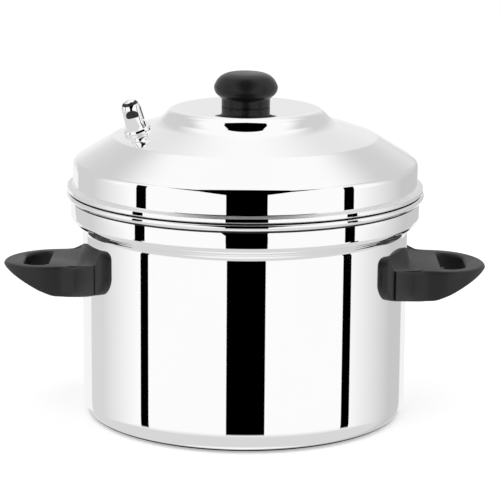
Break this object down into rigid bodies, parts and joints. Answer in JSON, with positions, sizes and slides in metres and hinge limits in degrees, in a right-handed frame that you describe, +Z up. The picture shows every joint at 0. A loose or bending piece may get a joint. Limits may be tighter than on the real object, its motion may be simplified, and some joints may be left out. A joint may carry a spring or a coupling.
{
  "type": "idli steamer",
  "caption": "Lidded stovetop steaming pot with two black side handles, a knob and a steam whistle on its lid, and a lift-out stand of stacked idli plates inside.",
  "frame": {"origin": "centre of the pot's flat underside", "axes": "+X towards the right handle, +Y to the back, +Z up, the whistle on the lid's front left"},
  "size_m": [0.342, 0.252, 0.2446],
  "materials": {
    "polished_steel": "mirror-polished stainless steel",
    "brushed_steel": "satin stainless steel",
    "black_phenolic": "satin black moulded phenolic",
    "red_rubber": "matte silicone rubber"
  },
  "bodies": {
    "pot": {"pot_body": "polished_steel", "right_handle_grip": "black_phenolic", "right_handle_shield": "black_phenolic", "right_handle_bracket": "brushed_steel", "right_handle_washer": "brushed_steel", "right_handle_screw": "brushed_steel", "left_handle_grip": "black_phenolic", "left_handle_shield": "black_phenolic", "left_handle_bracket": "brushed_steel", "left_handle_washer": "brushed_steel", "left_handle_screw": "brushed_steel"},
    "stand": {"stand_base": "brushed_steel", "centre_rod": "brushed_steel", "base_nut": "brushed_steel", "spacer_1": "brushed_steel", "spacer_2": "brushed_steel", "spacer_3": "brushed_steel", "spacer_4": "brushed_steel", "spacer_5": "brushed_steel", "spacer_6": "brushed_steel", "top_washer": "brushed_steel"},
    "plate_1": {"idli_plate_1": "brushed_steel"},
    "plate_2": {"idli_plate_2": "brushed_steel"},
    "plate_3": {"idli_plate_3": "brushed_steel"},
    "plate_4": {"idli_plate_4": "brushed_steel"},
    "plate_5": {"idli_plate_5": "brushed_steel"},
    "plate_6": {"idli_plate_6": "brushed_steel"},
    "thumb_nut": {"thumb_nut": "brushed_steel"},
    "lift_ring": {"lift_ring": "brushed_steel"},
    "lid": {"lid_shell": "polished_steel", "lid_knob": "black_phenolic", "knob_washer": "brushed_steel", "knob_screw": "brushed_steel", "vent_stem": "polished_steel", "vent_gasket": "red_rubber", "vent_nut": "brushed_steel"},
    "whistle": {"whistle_cap": "polished_steel", "whistle_collar": "polished_steel", "whistle_disc": "brushed_steel"}
  },
  "joints": [
    {"name": "stand_lift", "type": "slide", "parent": "pot", "child": "stand", "axis": [0, 0, 1], "range_m": [0, 0.18]},
    {"name": "lid_lift", "type": "slide", "parent": "stand", "child": "lid", "axis": [0, 0, 1], "range_m": [0, 0.16]},
    {"name": "whistle_lift", "type": "slide", "parent": "lid", "child": "whistle", "axis": [-0.2526, -0.1974, 0.9472], "range_m": [0, 0.03]},
    {"name": "plate_1_turn", "type": "hinge", "parent": "stand", "child": "plate_1", "pos_m": [0, 0, 0.046], "axis": [0, 0, 1], "continuous": true},
    {"name": "plate_2_turn", "type": "hinge", "parent": "stand", "child": "plate_2", "pos_m": [0, 0, 0.0715], "axis": [0, 0, 1], "continuous": true},
    {"name": "plate_3_turn", "type": "hinge", "parent": "stand", "child": "plate_3", "pos_m": [0, 0, 0.097], "axis": [0, 0, 1], "continuous": true},
    {"name": "plate_4_turn", "type": "hinge", "parent": "stand", "child": "plate_4", "pos_m": [0, 0, 0.1225], "axis": [0, 0, 1], "continuous": true},
    {"name": "plate_5_turn", "type": "hinge", "parent": "stand", "child": "plate_5", "pos_m": [0, 0, 0.148], "axis": [0, 0, 1], "continuous": true},
    {"name": "plate_6_turn", "type": "hinge", "parent": "stand", "child": "plate_6", "pos_m": [0, 0, 0.1735], "axis": [0, 0, 1], "continuous": true},
    {"name": "thumb_nut_turn", "type": "hinge", "parent": "stand", "child": "thumb_nut", "pos_m": [0, 0, 0.1786], "axis": [0, 0, 1], "continuous": true},
    {"name": "ring_swing", "type": "hinge", "parent": "stand", "child": "lift_ring", "pos_m": [0, 0, 0.18365], "axis": [-1, 0, 0], "range_deg": [0, 180]}
  ]
}
